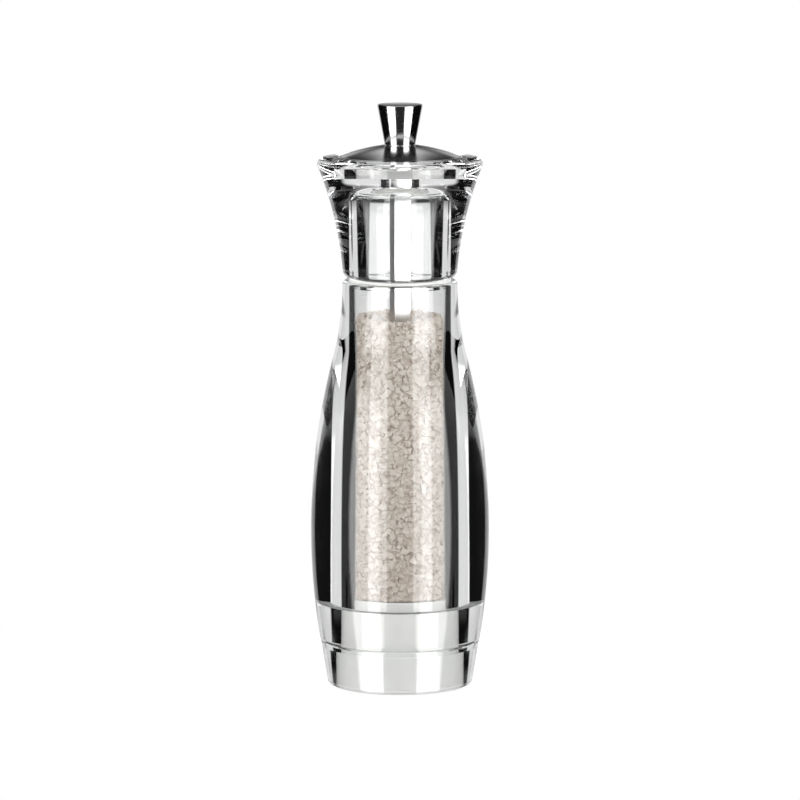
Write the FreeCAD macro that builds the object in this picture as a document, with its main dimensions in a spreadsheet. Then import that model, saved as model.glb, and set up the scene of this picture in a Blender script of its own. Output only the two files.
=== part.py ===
"""Clear table mill with a steel adjusting knob, modelled piece by piece in millimetres.

The axis of the mill is Z, the foot stands on Z = 0 and -Y is the front.
"""
import FreeCAD
import Part
import Sketcher

import math
import os

DOC = FreeCAD.newDocument("table_mill")
SHEET = DOC.addObject("Spreadsheet::Sheet", "dims")

# Driving dimensions, each set by itself. Lengths run up the mill from the foot.
DRIVING = {
    # foot ring and body
    "ring_tall": 13.6,
    "ring_wall": 6.42,
    "foot_taper": 2.0,
    "foot_round": 1.2,
    "seam_step": 0.25,
    "seam_chamfer": 0.35,
    "body_tall": 111.6,
    "belly_rise": 34.4,
    "belly_arc": 210.0,
    "neck_wall": 3.4,
    "neck_land": 0.4,
    "body_top_round": 0.9,
    "bore_radius": 14.2,
    "bore_chamfer": 0.4,
    "seat_depth": 11.6,
    # turning head
    "glide_thick": 0.6,
    "glide_width": 1.0,
    "spigot_depth": 2.0,
    "spigot_wall": 3.5,
    "spigot_gap": 0.3,
    "head_edge_round": 2.8,
    "flare_arc": 110.0,
    "flare_rise": 32.9,
    "flare_reach": 7.0,
    "lip_rise": 2.0,
    "lip_reach": 0.75,
    "lip_arc": 2.1,
    "crown_rise": 2.1,
    "crown_inset": 2.0,
    "ceiling_thick": 5.5,
    "ceiling_hole_gap": 0.66,
    "cavity_round": 4.9,
    # steel cap plate, drive disc and knob
    "plate_radius": 18.9,
    "plate_seat_sink": 0.4,
    "plate_edge_thick": 0.7,
    "plate_rise": 4.15,
    "plate_dome_arc": 62.0,
    "plate_sheet": 1.0,
    "plate_rim_width": 2.0,
    "plate_land": 0.6,
    "disc_radius": 13.4,
    "disc_flats": 23.4,
    "disc_thick": 3.2,
    "seat_gap": 0.1,
    "washer_thick": 0.4,
    "washer_inset": 0.35,
    "knob_tall": 12.1,
    "knob_low_radius": 4.75,
    "knob_high_radius": 6.95,
    "knob_chamfer": 0.35,
    "knob_crown_thick": 2.0,
    # spindle
    "spindle_side": 5.0,
    "spindle_turn": 19.0,
    "spindle_inset": 0.6,
    "lift_room": 1.1,
    "thread_room": 2.5,
    "thread_radius": 2.4,
    "thread_gap": 0.08,
    "square_gap": 0.06,
    "tap_room": 1.5,
    # grinding mechanism
    "housing_gap": 0.1,
    "housing_foot": 1.2,
    "housing_lip_reach": 1.5,
    "housing_lip_thick": 10.4,
    "housing_wall": 2.3,
    "ledge_width": 3.6,
    "throat_tall": 7.2,
    "gasket_thick": 0.6,
    "gasket_width": 3.7,
    "stator_gap": 0.1,
    "stator_tall": 9.0,
    "stator_wall": 3.2,
    "retainer_inset": 1.2,
    "retainer_thick": 1.6,
    "retainer_width": 2.4,
    "rotor_inset": 1.0,
    "rotor_tall": 8.0,
    "rotor_low_radius": 11.3,
    "rotor_high_radius": 7.0,
    "burr_gap_low": 1.0,
    "burr_gap_high": 2.6,
    "rotor_teeth": 12,
    "rotor_tooth_deep": 1.5,
    "stator_teeth": 18,
    "stator_tooth_deep": 1.0,
    "tooth_half_width": 0.9,
    "tooth_run_out": 1.0,
    "tooth_twist": 24.0,
    "bridge_width": 12.0,
    "bridge_thick": 2.0,
    "bush_wall": 1.46,
    "bush_gap": 0.05,
    "bush_rise": 1.8,
    "bush_flange_reach": 1.6,
    "bush_flange_thick": 1.2,
    "thrust_thick": 0.4,
    "bridge_screw_radius": 0.95,
    "bridge_screw_head": 1.5,
    "bridge_screw_head_tall": 1.2,
    "bridge_screw_deep": 5.0,
    "screw_hole_gap": 0.15,
    "wire_radius": 0.4,
    "spring_room": 0.75,
    "spring_turns": 3.5,
    "spring_end_gap": 0.02,
    "rotor_washer_thick": 0.8,
    "rotor_washer_radius": 5.0,
    "rotor_screw_radius": 1.4,
    "rotor_screw_gap": 0.05,
    "rotor_screw_head": 2.7,
    "rotor_screw_head_tall": 1.9,
    "rotor_screw_deep": 7.5,
    # salt in the chamber
    "salt_gap": 0.3,
    "salt_foot_gap": 0.1,
    "salt_head_gap": 6.6,
    "salt_dip": 4.2,
    "salt_spindle_gap": 0.7,
}

# Sizes worked out from the driving ones, each from names above it.
DERIVED = {
    # fixed burr and housing, from the turning burr outwards
    "stator_low_radius": "rotor_low_radius + burr_gap_low",
    "stator_high_radius": "rotor_high_radius + burr_gap_high",
    "stator_radius": "stator_low_radius + stator_wall",
    "stator_groove_low": "stator_low_radius + stator_tooth_deep",
    "stator_groove_high": "stator_high_radius + stator_tooth_deep",
    "stator_groove_low_open": "stator_low_radius - tooth_run_out",
    "stator_groove_high_open": "stator_high_radius - tooth_run_out",
    "retainer_inner": "stator_radius - retainer_width",
    "housing_inner": "stator_radius + stator_gap",
    "housing_radius": "housing_inner + housing_wall",
    "housing_lip_radius": "housing_radius + housing_lip_reach",
    "throat_radius": "housing_inner - ledge_width",
    "gasket_inner": "housing_radius - gasket_width",
    "counterbore_radius": "housing_radius + housing_gap",
    # body and foot ring
    "seam_radius": "counterbore_radius + ring_wall",
    "ring_top_radius": "seam_radius - seam_chamfer",
    "ring_chamfer_height": "ring_tall - seam_chamfer",
    "foot_radius": "seam_radius - foot_taper",
    "foot_flat_radius": "foot_radius - foot_round",
    "belly_height": "ring_tall + belly_rise",
    "body_top": "ring_tall + body_tall",
    "body_round_height": "body_top - body_top_round",
    "neck_height": "body_round_height - neck_land",
    "neck_radius": "bore_radius + neck_wall",
    "body_foot_chamfer_height": "ring_tall + seam_chamfer",
    "belly_foot_drop": "belly_height - body_foot_chamfer_height",
    "belly_foot_radius": "seam_radius + seam_step",
    "body_foot_radius": "belly_foot_radius - seam_chamfer",
    "belly_radius": "belly_foot_radius + belly_arc - sqrt(belly_arc ^ 2 - belly_foot_drop ^ 2)",
    "neck_step": "belly_radius - neck_radius",
    "neck_arc": "((neck_height - belly_height) ^ 2 + neck_step ^ 2) / (2 * neck_step) - belly_arc",
    "arc_share": "belly_arc / (belly_arc + neck_arc)",
    "shoulder_turn_height": "belly_height + (neck_height - belly_height) * arc_share",
    "shoulder_turn_radius": "belly_radius - neck_step * arc_share",
    "body_round_radius": "neck_radius - body_top_round",
    "bore_mouth_radius": "bore_radius + bore_chamfer",
    "bore_mouth_height": "body_top - bore_chamfer",
    "shoulder_height": "ring_tall + seat_depth",
    # heights of the housing and the fixed burr
    "housing_lip_top": "housing_foot + housing_lip_thick",
    "housing_top": "shoulder_height - gasket_thick",
    "ring_lip_radius": "housing_lip_radius + housing_gap",
    "ring_lip_top": "housing_lip_top + housing_gap",
    "retainer_foot": "housing_foot + retainer_inset",
    "stator_foot": "retainer_foot + retainer_thick",
    "stator_top": "stator_foot + stator_tall",
    "ledge_height": "stator_top + throat_tall",
    # turning burr and the spindle's foot
    "square_reach": "spindle_side * sqrt(2) / 2",
    "square_hole_side": "spindle_side + 2 * square_gap",
    "rotor_foot": "stator_foot + rotor_inset",
    "rotor_top": "rotor_foot + rotor_tall",
    "rotor_groove_low": "rotor_low_radius - rotor_tooth_deep",
    "rotor_groove_high": "rotor_high_radius - rotor_tooth_deep",
    "rotor_groove_low_open": "rotor_low_radius + tooth_run_out",
    "rotor_groove_high_open": "rotor_high_radius + tooth_run_out",
    "rotor_washer_foot": "rotor_foot - rotor_washer_thick",
    "rotor_washer_hole": "rotor_screw_radius + screw_hole_gap",
    "rotor_screw_foot": "rotor_washer_foot - rotor_screw_head_tall",
    "spindle_foot": "rotor_foot + spindle_inset",
    "rotor_screw_top": "spindle_foot + rotor_screw_deep",
    "tap_radius": "rotor_screw_radius + rotor_screw_gap",
    "spindle_tap_top": "rotor_screw_top + tap_room",
    # bridge, bush and spring
    "bush_radius": "square_reach + bush_wall",
    "bridge_top": "ledge_height + bridge_thick",
    "bridge_radius": "housing_inner - stator_gap",
    "bridge_length": "2 * housing_inner",
    "bridge_hole": "bush_radius + bush_gap",
    "bridge_screw_reach": "housing_inner - ledge_width / 2",
    "bridge_screw_hole": "bridge_screw_radius + screw_hole_gap",
    "bridge_screw_foot": "ledge_height - bridge_screw_deep",
    "bridge_screw_top": "bridge_top + bridge_screw_head_tall",
    "ledge_hole_foot": "bridge_screw_foot - screw_hole_gap",
    "ledge_hole_tall": "bridge_screw_deep + bridge_thick",
    "bush_top": "bridge_top + bush_rise",
    "bush_flange_radius": "bush_radius + bush_flange_reach",
    "bush_flange_top": "ledge_height - thrust_thick",
    "bush_flange_foot": "bush_flange_top - bush_flange_thick",
    "spring_radius": "square_reach + spring_room + wire_radius",
    # head
    "head_foot": "body_top + glide_thick",
    "glide_outer": "bore_mouth_radius + glide_width",
    "spigot_radius": "bore_radius - spigot_gap",
    "spigot_foot": "body_top - spigot_depth",
    "cavity_radius": "spigot_radius - spigot_wall",
    "head_edge_flat": "neck_radius - head_edge_round",
    "head_edge_height": "head_foot + head_edge_round",
    "flare_height": "head_foot + flare_rise",
    "flare_radius": "neck_radius + flare_reach",
    "lip_height": "flare_height + lip_rise",
    "lip_radius": "flare_radius + lip_reach",
    "crown_height": "lip_height + crown_rise",
    "crown_radius": "lip_radius - crown_inset",
    "plate_seat_height": "crown_height - plate_seat_sink",
    "cavity_ceiling": "plate_seat_height - ceiling_thick",
    "cavity_round_radius": "cavity_radius - cavity_round",
    "cavity_round_height": "cavity_ceiling - cavity_round",
    "ceiling_hole_radius": "square_reach + ceiling_hole_gap",
    "plate_recess_radius": "plate_radius + seat_gap",
    "head_top_inner": "plate_seat_height + plate_edge_thick - seat_gap",
    # cap plate, drive disc and knob
    "plate_edge_top": "plate_seat_height + plate_edge_thick",
    "plate_flat_height": "plate_seat_height + plate_rise",
    "plate_under_height": "plate_flat_height - plate_sheet",
    "plate_flat_radius": "knob_low_radius + plate_land",
    "plate_rim_inner": "plate_radius - plate_rim_width",
    "disc_foot": "plate_seat_height - disc_thick",
    "disc_recess_radius": "disc_radius + seat_gap",
    "disc_recess_flats": "disc_flats + 2 * seat_gap",
    "disc_recess_length": "2 * disc_recess_radius",
    "disc_recess_foot": "disc_foot - seat_gap",
    "disc_recess_tall": "disc_thick + 2 * seat_gap",
    "washer_hole": "thread_radius + thread_gap",
    "washer_radius": "knob_low_radius - washer_inset",
    "knob_foot": "plate_flat_height + washer_thick",
    "knob_top": "knob_foot + knob_tall",
    "knob_chamfer_radius": "knob_high_radius - knob_chamfer",
    "knob_chamfer_height": "knob_top - knob_chamfer",
    "knob_bore_top": "knob_top - knob_crown_thick",
    # the spindle's top
    "spindle_square_top": "plate_flat_height - lift_room",
    "spindle_square_tall": "spindle_square_top - spindle_foot",
    "spindle_top": "knob_bore_top - thread_room",
    # salt
    "salt_radius": "bore_radius - salt_gap",
    "salt_foot": "shoulder_height + salt_foot_gap",
    "salt_rim_height": "spigot_foot - salt_head_gap",
    "salt_dip_height": "salt_rim_height - salt_dip",
    "salt_hole_radius": "square_reach + salt_spindle_gap",
}


def fill_sheet():
    """Writes the driving numbers and the formulas into the sheet, each under its own name."""
    row = 1
    for alias, value in DRIVING.items():
        SHEET.set(f"A{row}", alias)
        SHEET.set(f"B{row}", str(value))
        SHEET.setAlias(f"B{row}", alias)
        row += 1
    for alias, formula in DERIVED.items():
        SHEET.set(f"A{row}", alias)
        SHEET.setAlias(f"B{row}", alias)
        SHEET.set(f"B{row}", f"={formula}")
        row += 1
    DOC.recompute()


def size(alias):
    """The present value of a named size."""
    return float(SHEET.get(alias))


def bind(feature, prop, alias):
    """Ties one property of a feature to a named size."""
    feature.setExpression(prop, f"dims.{alias}")


def new_body(label):
    """An empty body that carries the piece's name."""
    body = DOC.addObject("PartDesign::Body", label)
    body.Label = label
    return body


def origin_plane(body, role):
    """One of a body's own origin planes or axes."""
    return next(item for item in body.Origin.OriginFeatures if item.Role == role)


def new_sketch(body, name, plane):
    """A sketch on one of the body's origin planes."""
    sketch = body.newObject("Sketcher::SketchObject", name)
    sketch.AttachmentSupport = [(origin_plane(body, plane), "")]
    sketch.MapMode = "FlatFace"
    return sketch


def arc_between(start, end, radius, side):
    """The minor arc from start to end, bulging to the left of the way when side is 1 and right when -1."""
    chord = end - start
    normal = FreeCAD.Vector(-chord.y, chord.x, 0).normalize() * side
    sagitta = radius - math.sqrt(radius ** 2 - (chord.Length / 2) ** 2)
    return Part.Arc(start, (start + end) / 2 + normal * sagitta, end)


def pin_coordinate(sketch, kind, edge, spot, alias):
    """Holds one coordinate of a corner at a named size, or on the axis where the alias is None."""
    if alias is None:
        axis_line = -2 if kind == "DistanceX" else -1
        sketch.addConstraint(Sketcher.Constraint("PointOnObject", edge, spot, axis_line))
        return
    index = sketch.addConstraint(Sketcher.Constraint(kind, -1, 1, edge, spot, size(alias)))
    sketch.setExpression(f"Constraints[{index}]", f"dims.{alias}")


def draw_outline(sketch, corners, arcs=None):
    """Draws a closed outline through corners of named sizes.

    An edge is straight unless arcs names the edge's first corner, with the arc's radius and side.
    """
    arcs = arcs or {}
    places = [
        FreeCAD.Vector(size(x) if x else 0, size(y) if y else 0, 0)
        for x, y in corners
    ]
    ends = []
    for index, start in enumerate(places):
        end = places[(index + 1) % len(places)]
        if index in arcs:
            radius, side = arcs[index]
            edge = sketch.addGeometry(arc_between(start, end, size(radius), side))
            forward = (sketch.getPoint(edge, 1) - start).Length < (sketch.getPoint(edge, 1) - end).Length
        else:
            edge = sketch.addGeometry(Part.LineSegment(start, end))
            forward = True
        ends.append((edge, 1, 2) if forward else (edge, 2, 1))
    for index, (edge, _, last) in enumerate(ends):
        following, first, _ = ends[(index + 1) % len(ends)]
        sketch.addConstraint(Sketcher.Constraint("Coincident", edge, last, following, first))
    for (edge, first, _), (x, y) in zip(ends, corners):
        pin_coordinate(sketch, "DistanceX", edge, first, x)
        pin_coordinate(sketch, "DistanceY", edge, first, y)
    for index, (radius, _) in arcs.items():
        bound = sketch.addConstraint(Sketcher.Constraint("Radius", ends[index][0], size(radius)))
        sketch.setExpression(f"Constraints[{bound}]", f"dims.{radius}")


def turned(label, corners, arcs=None):
    """A piece turned about Z from an outline of radius and height names."""
    body = new_body(label)
    sketch = new_sketch(body, f"{label}_outline", "XZ_Plane")
    draw_outline(sketch, corners, arcs)
    turn = body.newObject("PartDesign::Revolution", f"{label}_turned")
    turn.Profile = sketch
    turn.ReferenceAxis = (sketch, ["V_Axis"])
    turn.Angle = 360
    sketch.Visibility = False
    return body


def ring(label, inner, outer, low, high):
    """A plain turned ring with a square section."""
    return turned(label, [(inner, low), (outer, low), (outer, high), (inner, high)])


def draw_square(sketch, side):
    """Draws a square about the sketch's origin, turned with the spindle."""
    half = size(side) / 2
    places = [FreeCAD.Vector(x * half, y * half, 0) for x, y in ((-1, -1), (1, -1), (1, 1), (-1, 1))]
    for index, start in enumerate(places):
        sketch.addGeometry(Part.LineSegment(start, places[(index + 1) % 4]))
    for index in range(4):
        sketch.addConstraint(Sketcher.Constraint("Coincident", index, 2, (index + 1) % 4, 1))
        sketch.addConstraint(Sketcher.Constraint("Vertical" if index % 2 else "Horizontal", index))
    sketch.addConstraint(Sketcher.Constraint("Symmetric", 0, 1, 2, 1, -1, 1))
    for kind, edge in (("DistanceX", 0), ("DistanceY", 1)):
        index = sketch.addConstraint(Sketcher.Constraint(kind, edge, 1, edge, 2, size(side)))
        sketch.setExpression(f"Constraints[{index}]", f"dims.{side}")
    sketch.setExpression("AttachmentOffset.Rotation.Angle", "dims.spindle_turn")


def square_hole(body, side):
    """Cuts the spindle's square hole right through a piece."""
    sketch = new_sketch(body, f"{body.Name}_square", "XY_Plane")
    draw_square(sketch, side)
    hole = body.newObject("PartDesign::Pocket", f"{body.Name}_square_hole")
    hole.Profile = sketch
    hole.Type = 1
    hole.Midplane = True
    sketch.Visibility = False


def draw_groove(sketch, apex, opening, height, twist):
    """Draws the V section of a burr's groove at a height, turned by a share of the groove's twist."""
    half = size("tooth_half_width")
    tip = FreeCAD.Vector(size(apex), 0, 0)
    low = FreeCAD.Vector(size(opening), -half, 0)
    high = FreeCAD.Vector(size(opening), half, 0)
    for start, end in ((tip, low), (low, high), (high, tip)):
        sketch.addGeometry(Part.LineSegment(start, end))
    for index in range(3):
        sketch.addConstraint(Sketcher.Constraint("Coincident", index, 2, (index + 1) % 3, 1))
    pin_coordinate(sketch, "DistanceX", 0, 1, apex)
    pin_coordinate(sketch, "DistanceY", 0, 1, None)
    pin_coordinate(sketch, "DistanceX", 1, 1, opening)
    sketch.addConstraint(Sketcher.Constraint("Symmetric", 1, 1, 1, 2, -1))
    index = sketch.addConstraint(Sketcher.Constraint("DistanceY", 1, 1, 1, 2, 2 * half))
    sketch.setExpression(f"Constraints[{index}]", "2 * dims.tooth_half_width")
    bind(sketch, "AttachmentOffset.Base.z", height)
    if twist:
        bind(sketch, "AttachmentOffset.Rotation.Angle", "tooth_twist")


def cut_teeth(body, low_names, high_names, count):
    """Cuts slanting grooves round a burr, from its foot to its top."""
    sections = []
    for place, names, twist in (("foot", low_names, False), ("top", high_names, True)):
        sketch = new_sketch(body, f"{body.Name}_groove_{place}", "XY_Plane")
        draw_groove(sketch, *names, twist)
        sections.append(sketch)
    groove = body.newObject("PartDesign::SubtractiveLoft", f"{body.Name}_groove")
    groove.Profile = sections[0]
    groove.Sections = [sections[1]]
    groove.Ruled = True
    DOC.recompute()
    teeth = body.newObject("PartDesign::PolarPattern", f"{body.Name}_teeth")
    teeth.Originals = [groove]
    teeth.Axis = (origin_plane(body, "Z_Axis"), [""])
    teeth.Angle = 360
    bind(teeth, "Occurrences", count)
    body.Tip = teeth


def cylinder(name, radius, low, tall, reach=None, side=1):
    """A plain cylinder standing at a named height, and at a named reach along X where given."""
    solid = DOC.addObject("Part::Cylinder", name)
    bind(solid, "Radius", radius)
    bind(solid, "Height", tall)
    bind(solid, "Placement.Base.z", low)
    if reach:
        solid.setExpression("Placement.Base.x", f"{side} * dims.{reach}")
    return solid


def slab(name, length, width, low, tall):
    """A plain box centred on the axis at a named height."""
    solid = DOC.addObject("Part::Box", name)
    bind(solid, "Length", length)
    bind(solid, "Width", width)
    bind(solid, "Height", tall)
    bind(solid, "Placement.Base.z", low)
    solid.setExpression("Placement.Base.x", f"-dims.{length} / 2")
    solid.setExpression("Placement.Base.y", f"-dims.{width} / 2")
    return solid


def shared(name, first, second):
    """What two solids have in common."""
    common = DOC.addObject("Part::Common", name)
    common.Base = first
    common.Tool = second
    return common


def cut(label, base, tools):
    """A solid with several tools taken out of it, under the piece's name."""
    for index, tool in enumerate(tools):
        result = DOC.addObject("Part::Cut", label if index == len(tools) - 1 else f"{label}_cut_{index}")
        result.Base = base
        result.Tool = tool
        base = result
    base.Label = label
    return base


def make_base_ring():
    """The clear foot ring under the body, held up by the housing's lip."""
    return turned(
        "base_ring",
        [
            ("ring_lip_radius", None),
            ("foot_flat_radius", None),
            ("foot_radius", "foot_round"),
            ("seam_radius", "ring_chamfer_height"),
            ("ring_top_radius", "ring_tall"),
            ("counterbore_radius", "ring_tall"),
            ("counterbore_radius", "ring_lip_top"),
            ("ring_lip_radius", "ring_lip_top"),
        ],
        {1: ("foot_round", -1)},
    )


def make_body_shell():
    """The clear bottle-shaped body: a straight bore, a wider seat for the mechanism and a waisted neck."""
    return turned(
        "body_shell",
        [
            ("counterbore_radius", "ring_tall"),
            ("body_foot_radius", "ring_tall"),
            ("belly_foot_radius", "body_foot_chamfer_height"),
            ("shoulder_turn_radius", "shoulder_turn_height"),
            ("neck_radius", "neck_height"),
            ("neck_radius", "body_round_height"),
            ("body_round_radius", "body_top"),
            ("bore_mouth_radius", "body_top"),
            ("bore_radius", "bore_mouth_height"),
            ("bore_radius", "shoulder_height"),
            ("counterbore_radius", "shoulder_height"),
        ],
        {2: ("belly_arc", -1), 3: ("neck_arc", 1), 5: ("body_top_round", -1)},
    )


def make_head_shell():
    """The clear flared head that the hand turns, with a spigot in the bore and a seat for the cap plate."""
    blank = turned(
        "head_blank",
        [
            ("cavity_radius", "spigot_foot"),
            ("spigot_radius", "spigot_foot"),
            ("spigot_radius", "head_foot"),
            ("head_edge_flat", "head_foot"),
            ("neck_radius", "head_edge_height"),
            ("flare_radius", "flare_height"),
            ("lip_radius", "lip_height"),
            ("crown_radius", "crown_height"),
            ("plate_recess_radius", "head_top_inner"),
            ("plate_recess_radius", "plate_seat_height"),
            ("ceiling_hole_radius", "plate_seat_height"),
            ("ceiling_hole_radius", "cavity_ceiling"),
            ("cavity_round_radius", "cavity_ceiling"),
            ("cavity_radius", "cavity_round_height"),
        ],
        {3: ("head_edge_round", -1), 4: ("flare_arc", 1), 6: ("lip_arc", -1), 12: ("cavity_round", 1)},
    )
    recess = shared(
        "disc_recess",
        cylinder("disc_recess_round", "disc_recess_radius", "disc_recess_foot", "disc_recess_tall"),
        slab("disc_recess_slab", "disc_recess_length", "disc_recess_flats", "disc_recess_foot",
             "disc_recess_tall"),
    )
    return cut("head_shell", blank, [recess])


def make_head_glide_ring():
    """The slippery ring that the head turns on, on top of the neck."""
    return ring("head_glide_ring", "bore_mouth_radius", "glide_outer", "body_top", "head_foot")


def make_dome_plate():
    """The domed steel cap plate, a pressed shell with a square hole for the spindle."""
    body = turned(
        "dome_plate",
        [
            (None, "plate_under_height"),
            ("plate_flat_radius", "plate_under_height"),
            ("plate_rim_inner", "plate_seat_height"),
            ("plate_radius", "plate_seat_height"),
            ("plate_radius", "plate_edge_top"),
            ("plate_flat_radius", "plate_flat_height"),
            (None, "plate_flat_height"),
        ],
        {1: ("plate_dome_arc", 1), 4: ("plate_dome_arc", -1)},
    )
    square_hole(body, "square_hole_side")
    return body


def make_drive_disc():
    """The flat-sided disc under the cap plate that hands the head's turn to the square spindle."""
    blank = shared(
        "drive_disc_blank",
        cylinder("drive_disc_round", "disc_radius", "disc_foot", "disc_thick"),
        slab("drive_disc_slab", "disc_recess_length", "disc_flats", "disc_foot", "disc_thick"),
    )
    hole = slab("drive_disc_square", "square_hole_side", "square_hole_side", "disc_foot", "disc_thick")
    turn = FreeCAD.Vector(0, 0, 1)
    hole.Placement = FreeCAD.Placement(FreeCAD.Vector(), FreeCAD.Rotation(turn, size("spindle_turn")))
    bind(hole, "Placement.Rotation.Angle", "spindle_turn")
    bind(hole, "Placement.Base.z", "disc_foot")
    hole.setExpression(
        "Placement.Base.x",
        "-dims.square_hole_side / 2 * (cos(dims.spindle_turn * 1 deg) - sin(dims.spindle_turn * 1 deg))",
    )
    hole.setExpression(
        "Placement.Base.y",
        "-dims.square_hole_side / 2 * (cos(dims.spindle_turn * 1 deg) + sin(dims.spindle_turn * 1 deg))",
    )
    return cut("drive_disc", blank, [hole])


def make_knob_washer():
    """The thin washer that the knob turns on."""
    return ring("knob_washer", "washer_hole", "washer_radius", "plate_flat_height", "knob_foot")


def make_adjusting_knob():
    """The steel knob, a cone that widens upwards, with a blind threaded bore."""
    return turned(
        "adjusting_knob",
        [
            ("washer_hole", "knob_foot"),
            ("knob_low_radius", "knob_foot"),
            ("knob_high_radius", "knob_chamfer_height"),
            ("knob_chamfer_radius", "knob_top"),
            (None, "knob_top"),
            (None, "knob_bore_top"),
            ("washer_hole", "knob_bore_top"),
        ],
    )


def make_spindle():
    """The square drive rod, threaded at its top for the knob and tapped at its foot for the rotor's screw."""
    body = new_body("spindle")
    sketch = new_sketch(body, "spindle_square", "XY_Plane")
    draw_square(sketch, "spindle_side")
    bind(sketch, "AttachmentOffset.Base.z", "spindle_foot")
    square = body.newObject("PartDesign::Pad", "spindle_rod")
    square.Profile = sketch
    bind(square, "Length", "spindle_square_tall")
    sketch.Visibility = False
    for name, kind, corners in (
        ("thread", "PartDesign::Revolution", [
            (None, "spindle_square_top"),
            ("thread_radius", "spindle_square_top"),
            ("thread_radius", "spindle_top"),
            (None, "spindle_top"),
        ]),
        ("tap", "PartDesign::Groove", [
            (None, "spindle_foot"),
            ("tap_radius", "spindle_foot"),
            ("tap_radius", "spindle_tap_top"),
            (None, "spindle_tap_top"),
        ]),
    ):
        outline = new_sketch(body, f"spindle_{name}_outline", "XZ_Plane")
        draw_outline(outline, corners)
        turn = body.newObject(kind, f"spindle_{name}")
        turn.Profile = outline
        turn.ReferenceAxis = (outline, ["V_Axis"])
        turn.Angle = 360
        outline.Visibility = False
    return body


def make_mechanism_housing():
    """The white cup that holds the grinder, seated in the body and carrying the foot ring on its lip."""
    blank = turned(
        "housing_blank",
        [
            ("housing_inner", "housing_foot"),
            ("housing_lip_radius", "housing_foot"),
            ("housing_lip_radius", "housing_lip_top"),
            ("housing_radius", "housing_lip_top"),
            ("housing_radius", "housing_top"),
            ("housing_inner", "housing_top"),
            ("housing_inner", "ledge_height"),
            ("throat_radius", "ledge_height"),
            ("throat_radius", "stator_top"),
            ("housing_inner", "stator_top"),
        ],
    )
    holes = [
        cylinder(f"ledge_hole_{index}", "bridge_screw_hole", "ledge_hole_foot", "ledge_hole_tall",
                 "bridge_screw_reach", side)
        for index, side in enumerate((-1, 1))
    ]
    return cut("mechanism_housing", blank, holes)


def make_housing_gasket():
    """The soft ring between the housing and the body's shoulder."""
    return ring("housing_gasket", "gasket_inner", "housing_radius", "housing_top", "shoulder_height")


def make_bearing_bridge():
    """The steel bar across the housing that carries the spindle's bush."""
    blank = shared(
        "bridge_blank",
        cylinder("bridge_round", "bridge_radius", "ledge_height", "bridge_thick"),
        slab("bridge_slab", "bridge_length", "bridge_width", "ledge_height", "bridge_thick"),
    )
    holes = [cylinder("bridge_bush_hole", "bridge_hole", "ledge_height", "bridge_thick")]
    for index, side in enumerate((-1, 1)):
        holes.append(
            cylinder(f"bridge_hole_{index}", "bridge_screw_hole", "ledge_height", "bridge_thick",
                     "bridge_screw_reach", side)
        )
    return cut("bearing_bridge", blank, holes)


def make_bridge_screws():
    """The two screws that hold the bridge on the housing's ledge."""
    screws = []
    for index, side in enumerate((-1, 1)):
        screw = turned(
            f"bridge_screw_{index}",
            [
                (None, "bridge_screw_foot"),
                ("bridge_screw_radius", "bridge_screw_foot"),
                ("bridge_screw_radius", "bridge_top"),
                ("bridge_screw_head", "bridge_top"),
                ("bridge_screw_head", "bridge_screw_top"),
                (None, "bridge_screw_top"),
            ],
        )
        screw.setExpression("Placement.Base.x", f"{side} * dims.bridge_screw_reach")
        screws.append(screw)
    pair = DOC.addObject("Part::Compound", "bridge_screws")
    pair.Links = screws
    return pair


def make_guide_bush():
    """The flanged bush that turns with the spindle in the bridge and lets it slide."""
    body = turned(
        "guide_bush",
        [
            (None, "bush_flange_foot"),
            ("bush_flange_radius", "bush_flange_foot"),
            ("bush_flange_radius", "bush_flange_top"),
            ("bush_radius", "bush_flange_top"),
            ("bush_radius", "bush_top"),
            (None, "bush_top"),
        ],
    )
    square_hole(body, "square_hole_side")
    return body


def make_thrust_washer():
    """The washer between the bush's flange and the bridge."""
    return ring("thrust_washer", "bridge_hole", "bush_flange_radius", "bush_flange_top", "ledge_height")


def make_stator_burr():
    """The fixed ceramic ring with grooves inside its cone."""
    body = turned(
        "stator_burr",
        [
            ("stator_low_radius", "stator_foot"),
            ("stator_radius", "stator_foot"),
            ("stator_radius", "stator_top"),
            ("stator_high_radius", "stator_top"),
        ],
    )
    cut_teeth(
        body,
        ("stator_groove_low", "stator_groove_low_open", "stator_foot"),
        ("stator_groove_high", "stator_groove_high_open", "stator_top"),
        "stator_teeth",
    )
    return body


def make_stator_retainer():
    """The ring that keeps the fixed burr up in the housing."""
    return ring("stator_retainer", "retainer_inner", "stator_radius", "retainer_foot", "stator_foot")


def make_rotor_burr():
    """The turning ceramic cone with slanting grooves and the spindle's square hole."""
    body = turned(
        "rotor_burr",
        [
            (None, "rotor_foot"),
            ("rotor_low_radius", "rotor_foot"),
            ("rotor_high_radius", "rotor_top"),
            (None, "rotor_top"),
        ],
    )
    cut_teeth(
        body,
        ("rotor_groove_low", "rotor_groove_low_open", "rotor_foot"),
        ("rotor_groove_high", "rotor_groove_high_open", "rotor_top"),
        "rotor_teeth",
    )
    square_hole(body, "square_hole_side")
    return body


def make_rotor_washer():
    """The washer under the rotor."""
    return ring("rotor_washer", "rotor_washer_hole", "rotor_washer_radius", "rotor_washer_foot", "rotor_foot")


def make_rotor_screw():
    """The screw that holds the rotor on the spindle's foot."""
    return turned(
        "rotor_screw",
        [
            (None, "rotor_screw_foot"),
            ("rotor_screw_head", "rotor_screw_foot"),
            ("rotor_screw_head", "rotor_washer_foot"),
            ("rotor_screw_radius", "rotor_washer_foot"),
            ("rotor_screw_radius", "rotor_screw_top"),
            (None, "rotor_screw_top"),
        ],
    )


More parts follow.
